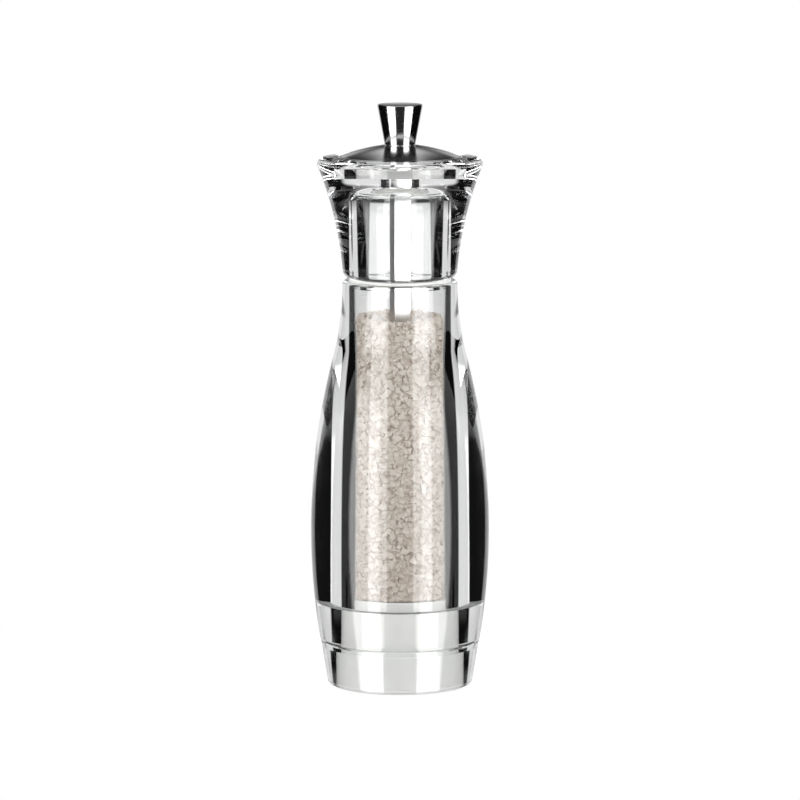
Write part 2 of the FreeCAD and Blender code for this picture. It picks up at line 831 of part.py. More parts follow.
def arc_from(start, tangent, end):
    """The arc that leaves start along tangent and ends at end."""
    chord = end - start
    along = FreeCAD.Vector(chord).normalize()
    across = tangent - along * tangent.dot(along)
    half_turn = math.atan2(across.Length, tangent.dot(along)) / 2
    middle = (start + end) / 2 + across.normalize() * (chord.Length / 2 * math.tan(half_turn))
    return Part.Arc(start, middle, end)


def biarc(start, start_way, end, end_way):
    """Two arcs that join smoothly and follow the given ways at both ends."""
    chord = end - start
    square = 2 * (1 - start_way.dot(end_way))
    linear = chord.dot(start_way + end_way)
    reach = (math.sqrt(linear ** 2 + square * chord.dot(chord)) - linear) / square
    middle = (start + end + (start_way - end_way) * reach) / 2
    first = arc_from(start, start_way, middle)
    second = arc_from(end, -end_way, middle)
    return first.toShape(), second.toShape()


def make_rotor_spring():
    """The coil spring between the bush and the rotor, one unbroken wire on quarter-turn biarcs."""
    wire_radius = size("wire_radius")
    radius = size("spring_radius")
    low = size("rotor_top") + size("spring_end_gap") + wire_radius
    high = size("bush_flange_foot") - size("spring_end_gap") - wire_radius
    turn = 2 * math.pi * size("spring_turns")
    climb = (high - low) / turn

    def place(angle):
        return FreeCAD.Vector(radius * math.cos(angle), radius * math.sin(angle), low + climb * angle)

    def way(angle):
        return FreeCAD.Vector(-radius * math.sin(angle), radius * math.cos(angle), climb).normalize()

    quarters = math.ceil(turn / (math.pi / 2))
    angles = [turn * index / quarters for index in range(quarters + 1)]
    edges = []
    for first, last in zip(angles, angles[1:]):
        edges.extend(biarc(place(first), way(first), place(last), way(last)))
    path = Part.Wire(Part.__sortEdges__(edges))
    section = Part.Wire(Part.makeCircle(wire_radius, place(0), way(0)))
    spring = DOC.addObject("Part::Feature", "rotor_spring")
    spring.Shape = path.makePipeShell([section], True, False)
    gap = 2 * math.pi * climb - 2 * wire_radius
    print(f"rotor_spring: gap between turns {gap:.2f} mm, wire length {path.Length:.1f} mm")
    return spring


def make_salt_fill():
    """The coarse salt in the chamber, with a dip round the spindle."""
    return turned(
        "salt_fill",
        [
            ("salt_hole_radius", "salt_foot"),
            ("salt_radius", "salt_foot"),
            ("salt_radius", "salt_rim_height"),
            ("salt_hole_radius", "salt_dip_height"),
        ],
    )


def check_and_write(pieces):
    """Stops on any failed object or bad shape, then writes each piece's file."""
    for item in DOC.Objects:
        if "Invalid" in item.State or "Error" in item.State:
            raise RuntimeError(f"{item.Name} failed: {item.State}")
    for piece in pieces:
        if piece.Shape.isNull() or not piece.Shape.isValid() or not piece.Shape.Solids:
            raise RuntimeError(f"{piece.Label} has no good shape")
    os.makedirs("parts", exist_ok=True)
    for piece in pieces:
        piece.Shape.exportStep(f"parts/{piece.Label}.step")
        box = piece.Shape.optimalBoundingBox(True, False)
        print(f"{piece.Label}: {len(piece.Shape.Solids)} solid, {piece.Shape.Volume:.1f} mm3, "
              f"z {box.ZMin:.2f} to {box.ZMax:.2f}, {box.XLength:.2f} wide")


def main():
    """Builds every piece and writes it."""
    fill_sheet()
    pieces = [
        make_base_ring(),
        make_body_shell(),
        make_mechanism_housing(),
        make_housing_gasket(),
        make_stator_burr(),
        make_stator_retainer(),
        make_bearing_bridge(),
        make_bridge_screws(),
        make_thrust_washer(),
        make_guide_bush(),
        make_rotor_burr(),
        make_rotor_washer(),
        make_rotor_screw(),
        make_spindle(),
        make_head_shell(),
        make_head_glide_ring(),
        make_drive_disc(),
        make_dome_plate(),
        make_knob_washer(),
        make_adjusting_knob(),
        make_salt_fill(),
        make_rotor_spring(),
    ]
    DOC.recompute()
    check_and_write(pieces)


main()
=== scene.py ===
"""Looks of a clear table mill.

Acrylic shells, a steel cap and knob, a ceramic grinder and a fill of coarse salt.
"""

import logging
import math
import random
from abc import ABC, abstractmethod
from dataclasses import dataclass, field
from enum import Enum
from typing import Callable

import bmesh
import bpy
from mathutils import Matrix, Vector

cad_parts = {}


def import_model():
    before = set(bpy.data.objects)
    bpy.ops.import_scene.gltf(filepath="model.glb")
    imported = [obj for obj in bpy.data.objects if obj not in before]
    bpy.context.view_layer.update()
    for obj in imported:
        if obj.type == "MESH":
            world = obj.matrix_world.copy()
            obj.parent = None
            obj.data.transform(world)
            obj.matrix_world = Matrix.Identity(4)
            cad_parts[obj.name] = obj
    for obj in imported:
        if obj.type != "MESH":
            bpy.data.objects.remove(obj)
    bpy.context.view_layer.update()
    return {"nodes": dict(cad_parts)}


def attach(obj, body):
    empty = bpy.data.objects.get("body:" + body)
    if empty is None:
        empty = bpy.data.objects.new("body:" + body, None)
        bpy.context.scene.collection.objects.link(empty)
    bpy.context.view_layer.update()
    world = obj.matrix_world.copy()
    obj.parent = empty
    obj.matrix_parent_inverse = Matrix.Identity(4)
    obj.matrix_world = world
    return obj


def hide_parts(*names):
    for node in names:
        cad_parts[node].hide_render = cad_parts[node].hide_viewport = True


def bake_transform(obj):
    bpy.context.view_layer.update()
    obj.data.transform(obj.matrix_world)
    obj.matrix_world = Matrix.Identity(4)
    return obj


LOG = logging.getLogger("table_mill")
MM = 0.001
ORIGIN = (0.0, 0.0, 0.0)
AXIS_Y = (0.0, 1.0, 0.0)
AXIS_Z = (0.0, 0.0, 1.0)
WHITE = (1.0, 1.0, 1.0)
# A Mix node's colour sockets share their names with its other sockets, so they go by number.
MIX_FIRST, MIX_SECOND, MIX_RESULT = 6, 7, 2

Colour = tuple[float, float, float]
Tree = bpy.types.NodeTree
Socket = bpy.types.NodeSocket


class Bulge(Enum):
    """The side on which an arc of an outline stands out, seen along the way that the outline runs."""

    LEFT = 1
    RIGHT = -1


def colour4(colour: Colour) -> tuple[float, float, float, float]:
    """A colour with full alpha."""
    return (*colour, 1.0)


def add_node(tree: Tree, kind: str, **settings: object) -> bpy.types.Node:
    """Adds a node to a tree.

    Args:
        tree: The node tree.
        kind: The node's type name.
        settings: Attributes of the node, by name.

    Returns:
        The new node.
    """
    node = tree.nodes.new(kind)
    for name, value in settings.items():
        setattr(node, name, value)
    return node


def feed(tree: Tree, value: object, socket: Socket) -> None:
    """Gives a socket a link or a plain value.

    Args:
        tree: The node tree that holds the socket.
        value: Another socket, or a number or colour.
        socket: The input to feed.
    """
    if isinstance(value, bpy.types.NodeSocket):
        tree.links.new(value, socket)
    else:
        socket.default_value = value


def math_node(tree: Tree, operation: str, first: object, second: object = 0.0) -> Socket:
    """Adds a Math node.

    Args:
        tree: The node tree.
        operation: The node's operation.
        first: A socket or a number.
        second: A socket or a number.

    Returns:
        The result's socket.
    """
    node = add_node(tree, "ShaderNodeMath", operation=operation)
    feed(tree, first, node.inputs[0])
    feed(tree, second, node.inputs[1])
    return node.outputs[0]


def mix_colour(tree: Tree, factor: object, first: object, second: object) -> Socket:
    """Mixes two colours.

    Args:
        tree: The node tree.
        factor: How much of the second colour shows.
        first: A socket or a colour.
        second: A socket or a colour.

    Returns:
        The mixed colour's socket.
    """
    node = add_node(tree, "ShaderNodeMix", data_type="RGBA")
    feed(tree, factor, node.inputs["Factor"])
    feed(tree, first, node.inputs[MIX_FIRST])
    feed(tree, second, node.inputs[MIX_SECOND])
    return node.outputs[MIX_RESULT]


def remap(tree: Tree, value: Socket, low: object, high: object) -> Socket:
    """Maps a value from 0 to 1 onto another span.

    Args:
        tree: The node tree.
        value: The value to map.
        low: What 0 becomes.
        high: What 1 becomes.

    Returns:
        The mapped value's socket.
    """
    node = add_node(tree, "ShaderNodeMapRange")
    feed(tree, value, node.inputs["Value"])
    feed(tree, low, node.inputs["To Min"])
    feed(tree, high, node.inputs["To Max"])
    return node.outputs["Result"]


def soft_step(
    tree: Tree, value: Socket, start: float, end: float, before: float = 0.0, after: float = 1.0
) -> Socket:
    """Adds a soft step from one value to another.

    Args:
        tree: The node tree.
        value: Where to look.
        start: Where the step starts.
        end: Where it ends.
        before: The result up to the start.
        after: The result from the end on.

    Returns:
        The result's socket.
    """
    node = add_node(tree, "ShaderNodeMapRange", interpolation_type="SMOOTHSTEP")
    tree.links.new(value, node.inputs["Value"])
    for label, number in zip(("From Min", "From Max", "To Min", "To Max"), (start, end, before, after)):
        node.inputs[label].default_value = number
    return node.outputs["Result"]


def noise(tree: Tree, coordinates: Socket, scale: object, detail: float = 3.0) -> Socket:
    """Adds a noise texture and returns its value's socket."""
    node = add_node(tree, "ShaderNodeTexNoise")
    feed(tree, coordinates, node.inputs["Vector"])
    feed(tree, scale, node.inputs["Scale"])
    node.inputs["Detail"].default_value = detail
    return node.outputs["Fac"]


class EffectGroup:
    """A shader node group that several finishes share."""

    def __init__(
        self, name: str, inputs: dict[str, float], build: Callable[[Tree, Socket, dict], Socket]
    ) -> None:
        """Builds the group once.

        Args:
            name: The group's name.
            inputs: Its number inputs and their defaults.
            build: Makes the nodes from the tree, the coordinates and the inputs, and returns the mask.
        """
        self.tree = bpy.data.node_groups.new(name, "ShaderNodeTree")
        self.tree.interface.new_socket("Coordinates", in_out="INPUT", socket_type="NodeSocketVector")
        for label, value in inputs.items():
            socket = self.tree.interface.new_socket(label, in_out="INPUT", socket_type="NodeSocketFloat")
            socket.default_value = value
        self.tree.interface.new_socket("Mask", in_out="OUTPUT", socket_type="NodeSocketFloat")
        entry = self.tree.nodes.new("NodeGroupInput")
        leave = self.tree.nodes.new("NodeGroupOutput")
        sockets = {label: entry.outputs[label] for label in inputs}
        mask = build(self.tree, entry.outputs["Coordinates"], sockets)
        self.tree.links.new(mask, leave.inputs["Mask"])

    def place(self, tree: Tree, coordinates: Socket, **values: float) -> Socket:
        """Places the group in a material.

        Args:
            tree: The material's node tree.
            coordinates: The pattern's coordinates.
            values: The group's inputs, by name with spaces as underscores.

        Returns:
            The mask's socket.
        """
        node = add_node(tree, "ShaderNodeGroup", node_tree=self.tree)
        tree.links.new(coordinates, node.inputs["Coordinates"])
        for label, value in values.items():
            node.inputs[label.replace("_", " ").capitalize()].default_value = value
        return node.outputs["Mask"]


def turning_marks(tree: Tree, coordinates: Socket, inputs: dict[str, Socket]) -> Socket:
    """Fine rings round the axis, as a lathe and a polishing wheel leave them.

    Args:
        tree: The group's tree.
        coordinates: The surface's coordinates.
        inputs: Pitch, the number of rings in a metre, and Break, how much the rings break up.

    Returns:
        The mask, 0 to 1.
    """
    parts = add_node(tree, "ShaderNodeSeparateXYZ")
    tree.links.new(coordinates, parts.inputs[0])
    across = math_node(tree, "MULTIPLY", parts.outputs["X"], parts.outputs["X"])
    along = math_node(tree, "MULTIPLY", parts.outputs["Y"], parts.outputs["Y"])
    radius = math_node(tree, "SQRT", math_node(tree, "ADD", across, along))
    turn = math_node(tree, "ARCTAN2", parts.outputs["Y"], parts.outputs["X"])
    place = add_node(tree, "ShaderNodeCombineXYZ")
    tree.links.new(math_node(tree, "MULTIPLY", radius, inputs["Pitch"]), place.inputs["X"])
    tree.links.new(math_node(tree, "MULTIPLY", parts.outputs["Z"], inputs["Pitch"]), place.inputs["Y"])
    tree.links.new(math_node(tree, "MULTIPLY", turn, inputs["Break"]), place.inputs["Z"])
    return noise(tree, place.outputs[0], scale=1.0)


def speckle(tree: Tree, coordinates: Socket, inputs: dict[str, Socket]) -> Socket:
    """Soft irregular patches, for moulded, fired and handled surfaces.

    Args:
        tree: The group's tree.
        coordinates: The surface's coordinates.
        inputs: Scale, patches in a metre, and Contrast.

    Returns:
        The mask, 0 to 1.
    """
    middle = 0.5
    patches = noise(tree, coordinates, inputs["Scale"], detail=4.0)
    centred = math_node(tree, "SUBTRACT", patches, middle)
    stretched = math_node(tree, "MULTIPLY", centred, inputs["Contrast"])
    node = add_node(tree, "ShaderNodeMath", operation="ADD", use_clamp=True)
    tree.links.new(stretched, node.inputs[0])
    node.inputs[1].default_value = middle
    return node.outputs[0]


class Effects:
    """The shared effects, each built once."""

    def __init__(self) -> None:
        """Builds the node groups."""
        self.turning = EffectGroup("turning_marks", {"Pitch": 4000.0, "Break": 0.3}, turning_marks)
        self.speckle = EffectGroup("speckle", {"Scale": 400.0, "Contrast": 2.0}, speckle)


class Surface:
    """A material under construction: its tree, its shader and its coordinates."""

    def __init__(self, name: str) -> None:
        """Starts an empty material with one Principled shader."""
        self.material = bpy.data.materials.new(name)
        self.material.use_nodes = True
        self.tree = self.material.node_tree
        self.shader = next(node for node in self.tree.nodes if node.type == "BSDF_PRINCIPLED")
        self.output = next(node for node in self.tree.nodes if node.type == "OUTPUT_MATERIAL")
        self.coordinates = add_node(self.tree, "ShaderNodeTexCoord").outputs["Object"]

    def put(self, **values: object) -> None:
        """Feeds the shader's sockets, by name with underscores for spaces."""
        for name, value in values.items():
            label = " ".join(word if word == "IOR" else word.capitalize() for word in name.split("_"))
            feed(self.tree, value, self.shader.inputs[label])

    def bump(self, height: Socket, strength: float, distance: float) -> None:
        """Feeds a height into the shader's normal.

        Args:
            height: The height's socket.
            strength: The bump's strength.
            distance: What a height of 1 stands for, in metres.
        """
        node = add_node(self.tree, "ShaderNodeBump")
        node.inputs["Strength"].default_value = strength
        node.inputs["Distance"].default_value = distance
        self.tree.links.new(height, node.inputs["Height"])
        self.tree.links.new(node.outputs["Normal"], self.shader.inputs["Normal"])

    def mix_in(self, factor: Socket, other: bpy.types.Node) -> None:
        """Mixes another shader over the Principled one.

        Args:
            factor: How much of the other shader shows.
            other: The other shader's node.
        """
        mix = add_node(self.tree, "ShaderNodeMixShader")
        for source, place in zip((factor, self.shader.outputs[0], other.outputs[0]), mix.inputs):
            self.tree.links.new(source, place)
        self.tree.links.new(mix.outputs[0], self.output.inputs["Surface"])


class Finish(ABC):
    """A recipe for one material."""

    name: str

    def build(self, effects: Effects) -> bpy.types.Material:
        """Makes the material.

        Args:
            effects: The shared effects.

        Returns:
            The material.
        """
        surface = Surface(self.name)
        self.paint(surface, effects)
        return surface.material

    @abstractmethod
    def paint(self, surface: Surface, effects: Effects) -> None:
        """Feeds the material's shader.

        Args:
            surface: The material under construction.
            effects: The shared effects.
        """


@dataclass(frozen=True)
class ClearAcrylic(Finish):
    """Polished clear acrylic that lets lamp light through to what it holds."""

    name: str = "clear_acrylic"
    tint: Colour = (0.985, 0.992, 0.99)
    ior: float = 1.49
    polish: tuple[float, float] = (0.0, 0.012)
    smear_scale: float = 60.0
    smear_contrast: float = 2.5
    deepest: float = 5.0

    def paint(self, surface: Surface, effects: Effects) -> None:
        """Feeds the material's shader."""
        smears = effects.speckle.place(
            surface.tree, surface.coordinates, scale=self.smear_scale, contrast=self.smear_contrast
        )
        surface.put(
            base_color=colour4(self.tint),
            roughness=remap(surface.tree, smears, *self.polish),
            IOR=self.ior,
            transmission_weight=1.0,
        )
        self._pass_lamp_light(surface)

    def _pass_lamp_light(self, surface: Surface) -> None:
        """Lets lamp light through to what the wall holds, and frees rays caught in the wall."""
        tree = surface.tree
        path = add_node(tree, "ShaderNodeLightPath")
        caught = math_node(tree, "GREATER_THAN", path.outputs["Ray Depth"], self.deepest)
        passes = math_node(tree, "MAXIMUM", path.outputs["Is Shadow Ray"], caught)
        clear = add_node(tree, "ShaderNodeBsdfTransparent")
        clear.inputs["Color"].default_value = colour4(self.tint)
        surface.mix_in(passes, clear)


@dataclass(frozen=True)
class TurnedSteel(Finish):
    """Steel turned on a lathe and polished, with faint rings."""

    name: str
    dark: Colour = (0.50, 0.50, 0.51)
    light: Colour = (0.66, 0.66, 0.67)
    gloss: tuple[float, float] = (0.1, 0.19)
    pitch: float = 6000.0
    ring_depth: float = 0.000004
    ring_strength: float = 0.25

    def paint(self, surface: Surface, effects: Effects) -> None:
        """Feeds the material's shader."""
        rings = effects.turning.place(surface.tree, surface.coordinates, pitch=self.pitch)
        surface.put(
            base_color=mix_colour(surface.tree, rings, colour4(self.dark), colour4(self.light)),
            roughness=remap(surface.tree, rings, *self.gloss),
            metallic=1.0,
        )
        surface.bump(rings, self.ring_strength, self.ring_depth)


@dataclass(frozen=True)
class DrawnAlloy(Finish):
    """Drawn aluminium with fine lines along its length."""

    name: str = "drawn_alloy"
    dark: Colour = (0.62, 0.62, 0.63)
    light: Colour = (0.84, 0.84, 0.84)
    gloss: tuple[float, float] = (0.24, 0.4)
    lines: float = 5000.0
    run: float = 30.0

    def paint(self, surface: Surface, effects: Effects) -> None:
        """Feeds the material's shader."""
        stretch = add_node(surface.tree, "ShaderNodeMapping")
        stretch.inputs["Scale"].default_value = (self.lines, self.lines, self.run)
        surface.tree.links.new(surface.coordinates, stretch.inputs["Vector"])
        drawn = noise(surface.tree, stretch.outputs["Vector"], scale=1.0)
        surface.put(
            base_color=mix_colour(surface.tree, drawn, colour4(self.dark), colour4(self.light)),
            roughness=remap(surface.tree, drawn, *self.gloss),
            metallic=1.0,
        )


@dataclass(frozen=True)
class Moulded(Finish):
    """A moulded or fired surface with soft patches and a fine grain."""

    name: str
    dark: Colour
    light: Colour
    gloss: tuple[float, float]
    patch_scale: float = 300.0
    patch_contrast: float = 1.6
    grain_scale: float = 6000.0
    grain_contrast: float = 2.0
    grain_depth: float = 0.00001
    grain_strength: float = 0.3

    def paint(self, surface: Surface, effects: Effects) -> None:
        """Feeds the material's shader."""
        patches = effects.speckle.place(
            surface.tree, surface.coordinates, scale=self.patch_scale, contrast=self.patch_contrast
        )
        grain = effects.speckle.place(
            surface.tree, surface.coordinates, scale=self.grain_scale, contrast=self.grain_contrast
        )
        surface.put(
            base_color=mix_colour(surface.tree, patches, colour4(self.dark), colour4(self.light)),
            roughness=remap(surface.tree, patches, *self.gloss),
        )
        surface.bump(grain, self.grain_strength, self.grain_depth)


@dataclass(frozen=True)
class CoarseSalt(Finish):
    """Crystals of coarse salt, white to faintly pink, with a few darker ones and painted shade towards the
    foot. Heights are in metres.
    """

    name: str = "coarse_salt"
    white: Colour = (0.68, 0.625, 0.57)
    pink: Colour = (0.60, 0.52, 0.455)
    dusky: Colour = (0.47, 0.385, 0.33)
    gloss: tuple[float, float] = (0.2, 0.5)
    grain_scale: float = 650.0
    drift_scale: float = 90.0
    drift_contrast: float = 1.4
    dusky_share: float = 0.16
    dusky_depth: float = 0.6
    # The heights and the depth of the painted shade that darkens the salt towards the foot.
    shade_heights: tuple[float, float] = (0.028, 0.085)
    shade_depth: float = 0.3

    def paint(self, surface: Surface, effects: Effects) -> None:
        """Feeds the material's shader."""
        tree = surface.tree
        cells = add_node(tree, "ShaderNodeTexVoronoi")
        cells.inputs["Scale"].default_value = self.grain_scale
        tree.links.new(surface.coordinates, cells.inputs["Vector"])
        pick = add_node(tree, "ShaderNodeSeparateColor")
        tree.links.new(cells.outputs["Color"], pick.inputs[0])
        drift = effects.speckle.place(
            tree, surface.coordinates, scale=self.drift_scale, contrast=self.drift_contrast
        )
        shade = math_node(tree, "MULTIPLY", pick.outputs[0], drift)
        pale = mix_colour(tree, shade, colour4(self.white), colour4(self.pink))
        is_dusky = math_node(tree, "LESS_THAN", pick.outputs[1], self.dusky_share)
        dusk = math_node(tree, "MULTIPLY", is_dusky, self.dusky_depth)
        # The darker crystals and the painted shade low in the fill both mix towards the dusky colour.
        dusk_and_shade = math_node(tree, "MAXIMUM", dusk, self._painted_depth_shade(surface))
        surface.put(
            base_color=mix_colour(tree, dusk_and_shade, pale, colour4(self.dusky)),
            roughness=remap(tree, pick.outputs[2], *self.gloss),
        )

    def _painted_depth_shade(self, surface: Surface) -> Socket:
        """Painted shade: how far the salt's colour darkens towards the foot."""
        parts = add_node(surface.tree, "ShaderNodeSeparateXYZ")
        surface.tree.links.new(surface.coordinates, parts.inputs[0])
        return soft_step(
            surface.tree, parts.outputs["Z"], *self.shade_heights, before=self.shade_depth, after=0.0
        )


class Lathe:
    """Draws an outline in the plane of X and Z and turns it about Z into a closed skin.

    Radii and heights are in millimetres.
    """

    turn_steps = 256
    arc_step = math.radians(5.0)
    arc_reach = 0.8
    arc_least = 6
    weld = 1e-6
    sharp_from = math.radians(24.0)

    def __init__(self, radius: float, height: float) -> None:
        """Starts the outline at a corner."""
        self.mesh = bmesh.new()
        self.tip = self.mesh.verts.new((radius * MM, 0.0, height * MM))

    def line_to(self, radius: float, height: float) -> None:
        """Goes on straight to a corner.

        Args:
            radius: The corner's radius.
            height: The corner's height.
        """
        grown = bmesh.ops.extrude_vert_indiv(self.mesh, verts=[self.tip])
        self.tip = grown["verts"][0]
        self.tip.co = Vector((radius * MM, 0.0, height * MM))

    def arc_to(self, radius: float, height: float, bend: float, bulge: Bulge) -> None:
        """Goes on along the shorter arc to a corner.

        Args:
            radius: The corner's radius.
            height: The corner's height.
            bend: The arc's own radius.
            bulge: The side on which the arc stands out.
        """
        start = self.tip.co.copy()
        end = Vector((radius * MM, 0.0, height * MM))
        chord = end - start
        left = Vector((-chord.z, 0.0, chord.x)).normalized() * bulge.value
        depth = math.sqrt(max((bend * MM) ** 2 - (chord.length / 2) ** 2, 0.0))
        centre = (start + end) / 2 - left * depth
        sweep = 2 * math.asin(min(chord.length / 2 / (bend * MM), 1.0))
        by_angle, by_length = math.ceil(sweep / self.arc_step), math.ceil(sweep * bend / self.arc_reach)
        steps = max(self.arc_least, by_angle, by_length)
        grown = bmesh.ops.spin(
            self.mesh, geom=[self.tip], cent=centre, axis=AXIS_Y, dvec=ORIGIN,
            angle=sweep * bulge.value, steps=steps, use_duplicate=False,
        )
        self.tip = next(item for item in grown["geom_last"] if isinstance(item, bmesh.types.BMVert))
        if (self.tip.co - end).length > MM:
            raise ValueError(f"arc ends {(self.tip.co - end).length / MM:.2f} mm from its corner")
        self.tip.co = end

    def turn(self, name: str) -> bpy.types.Object:
        """Runs the outline back to its start, turns it about Z and makes the piece's object.

        Args:
            name: The piece's name.

        Returns:
            The new object, at the origin.
        """
        mesh = self.mesh
        mesh.verts.ensure_lookup_table()
        mesh.edges.new((self.tip, mesh.verts[0]))
        bmesh.ops.remove_doubles(mesh, verts=mesh.verts, dist=self.weld)
        bmesh.ops.spin(
            mesh, geom=mesh.verts[:] + mesh.edges[:], cent=ORIGIN, axis=AXIS_Z, dvec=ORIGIN,
            angle=2 * math.pi, steps=self.turn_steps, use_merge=True,
        )
        bmesh.ops.remove_doubles(mesh, verts=mesh.verts, dist=self.weld)
        bmesh.ops.recalc_face_normals(mesh, faces=mesh.faces)
        return finish_mesh(mesh, name, self.sharp_from)


def finish_mesh(mesh: bmesh.types.BMesh, name: str, sharp_from: float) -> bpy.types.Object:
    """Makes an object of a bmesh, smooth but for its sharp edges.

    Args:
        mesh: The bmesh, which is freed.
        name: The object's name.
        sharp_from: The angle from which an edge is sharp.

    Returns:
        The new object.
    """
    data = bpy.data.meshes.new(name)
    for face in mesh.faces:
        face.smooth = True
    mesh.to_mesh(data)
    mesh.free()
    data.set_sharp_from_angle(angle=sharp_from)
    piece = bpy.data.objects.new(name, data)
    bpy.context.scene.collection.objects.link(piece)
    return piece


def loose_mesh(mesh: bmesh.types.BMesh) -> bpy.types.Mesh:
    """Makes a mesh with no object of a bmesh, which is freed."""
    data = bpy.data.meshes.new("loose")
    mesh.to_mesh(data)
    mesh.free()
    return data


def dress(piece: bpy.types.Object, material: bpy.types.Material) -> None:
    """Gives a piece or a node its one material."""
    piece.data.materials.clear()
    piece.data.materials.append(material)


def settle(
    piece: bpy.types.Object, material: bpy.types.Material, body: str, slot: str, *nodes: str
) -> None:
    """Dresses a new piece, lets it ride on its body and puts it in the place of its nodes.

    Args:
        piece: The new piece.
        material: Its material.
        body: The body that carries it.
        slot: The record's material slot; not used.
        nodes: The nodes that it stands for, if any.
    """
    dress(piece, material)
    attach(piece, body)
    if nodes:
        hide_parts(*nodes)
    LOG.info("%s: %d faces on %s", piece.name, len(piece.data.polygons), body)


@dataclass
class ClearBody:
    """The clear bottle-shaped body and its foot ring. Sizes are in millimetres."""

    seat_radius: float = 18.0
    seat_height: float = 25.2
    seam_height: float = 13.6
    seam_chamfer: float = 0.35
    belly_foot_radius: float = 24.67
    belly_radius: float = 27.449
    belly_height: float = 48.0
    belly_arc: float = 210.0
    neck_radius: float = 17.6
    neck_height: float = 123.9
    top_round: float = 0.9
    top_height: float = 125.2
    bore_radius: float = 14.2
    bore_chamfer: float = 0.4
    ring_radius: float = 24.42
    ring_taper: float = 2.0
    ring_round: float = 1.2
    lip_radius: float = 19.5
    lip_height: float = 11.7

    def neck_arc(self) -> float:
        """The neck's hollow arc that meets the belly's arc smoothly."""
        step = self.belly_radius - self.neck_radius
        rise = self.neck_height - self.belly_height
        return (rise ** 2 + step ** 2) / (2 * step) - self.belly_arc

    def build_body(self) -> bpy.types.Object:
        """Turns the bottle shape with its bore and the grinder's seat."""
        neck_arc = self.neck_arc()
        share = self.belly_arc / (self.belly_arc + neck_arc)
        turn_radius = self.belly_radius - (self.belly_radius - self.neck_radius) * share
        turn_height = self.belly_height + (self.neck_height - self.belly_height) * share
        lathe = Lathe(self.seat_radius, self.seam_height)
        lathe.line_to(self.belly_foot_radius - self.seam_chamfer, self.seam_height)
        lathe.line_to(self.belly_foot_radius, self.seam_height + self.seam_chamfer)
        lathe.arc_to(turn_radius, turn_height, self.belly_arc, Bulge.RIGHT)
        lathe.arc_to(self.neck_radius, self.neck_height, neck_arc, Bulge.LEFT)
        lathe.line_to(self.neck_radius, self.top_height - self.top_round)
        lathe.arc_to(self.neck_radius - self.top_round, self.top_height, self.top_round, Bulge.RIGHT)
        lathe.line_to(self.bore_radius + self.bore_chamfer, self.top_height)
        lathe.line_to(self.bore_radius, self.top_height - self.bore_chamfer)
        lathe.line_to(self.bore_radius, self.seat_height)
        lathe.line_to(self.seat_radius, self.seat_height)
        return lathe.turn("clear_body")

    def build_ring(self) -> bpy.types.Object:
        """Turns the foot ring with the groove for the grinder's lip."""
        foot_radius = self.ring_radius - self.ring_taper
        lathe = Lathe(self.lip_radius, 0.0)
        lathe.line_to(foot_radius - self.ring_round, 0.0)
        lathe.arc_to(foot_radius, self.ring_round, self.ring_round, Bulge.RIGHT)
        lathe.line_to(self.ring_radius, self.seam_height - self.seam_chamfer)
        lathe.line_to(self.ring_radius - self.seam_chamfer, self.seam_height)
        lathe.line_to(self.seat_radius, self.seam_height)
        lathe.line_to(self.seat_radius, self.lip_height)
        lathe.line_to(self.lip_radius, self.lip_height)
        return lathe.turn("clear_foot_ring")

    def assemble(self, acrylic: bpy.types.Material) -> None:
        """Builds both pieces and sets them on the mill's body."""
        settle(self.build_body(), acrylic, "mill_body", "clear_acrylic", "body_shell")
        settle(self.build_ring(), acrylic, "mill_body", "clear_acrylic", "base_ring")


@dataclass
class ClearHead:
    """The clear flared head that the hand turns. Sizes are in millimetres."""

    cavity_radius: float = 10.4
    cavity_round: float = 4.9
    cavity_ceiling: float = 156.9
    spigot_radius: float = 13.9
    spigot_foot: float = 123.2
    foot_height: float = 125.8
    edge_radius: float = 17.6
    edge_round: float = 2.8
    flare_arc: float = 110.0
    flare_radius: float = 24.6
    flare_height: float = 158.7
    lip_radius: float = 25.35
    lip_height: float = 160.7
    lip_arc: float = 2.1
    crown_radius: float = 23.35
    crown_height: float = 162.8
    recess_radius: float = 19.0
    rim_height: float = 163.0
    plate_seat: float = 162.4
    disc_recess_radius: float = 13.5
    disc_recess_foot: float = 159.1
    spindle_hole: float = 4.2

    def build(self) -> bpy.types.Object:
        """Turns the head with its spigot, its hollow and the seats of the plate and the disc."""
        lathe = Lathe(self.cavity_radius, self.spigot_foot)
        lathe.line_to(self.spigot_radius, self.spigot_foot)
        lathe.line_to(self.spigot_radius, self.foot_height)
        lathe.line_to(self.edge_radius - self.edge_round, self.foot_height)
        lathe.arc_to(
            self.edge_radius, self.foot_height + self.edge_round, self.edge_round, Bulge.RIGHT
        )
        lathe.arc_to(self.flare_radius, self.flare_height, self.flare_arc, Bulge.LEFT)
        lathe.line_to(self.lip_radius, self.lip_height)
        lathe.arc_to(self.crown_radius, self.crown_height, self.lip_arc, Bulge.RIGHT)
        lathe.line_to(self.recess_radius, self.rim_height)
        lathe.line_to(self.recess_radius, self.plate_seat)
        lathe.line_to(self.disc_recess_radius, self.plate_seat)
        lathe.line_to(self.disc_recess_radius, self.disc_recess_foot)
        lathe.line_to(self.spindle_hole, self.disc_recess_foot)
        lathe.line_to(self.spindle_hole, self.cavity_ceiling)
        lathe.line_to(self.cavity_radius - self.cavity_round, self.cavity_ceiling)
        lathe.arc_to(
            self.cavity_radius, self.cavity_ceiling - self.cavity_round, self.cavity_round, Bulge.LEFT
        )
        return lathe.turn("clear_head")

    def assemble(self, acrylic: bpy.types.Material) -> None:
        """Builds the head and sets it on its body."""
        settle(self.build(), acrylic, "head", "clear_acrylic", "head_shell")


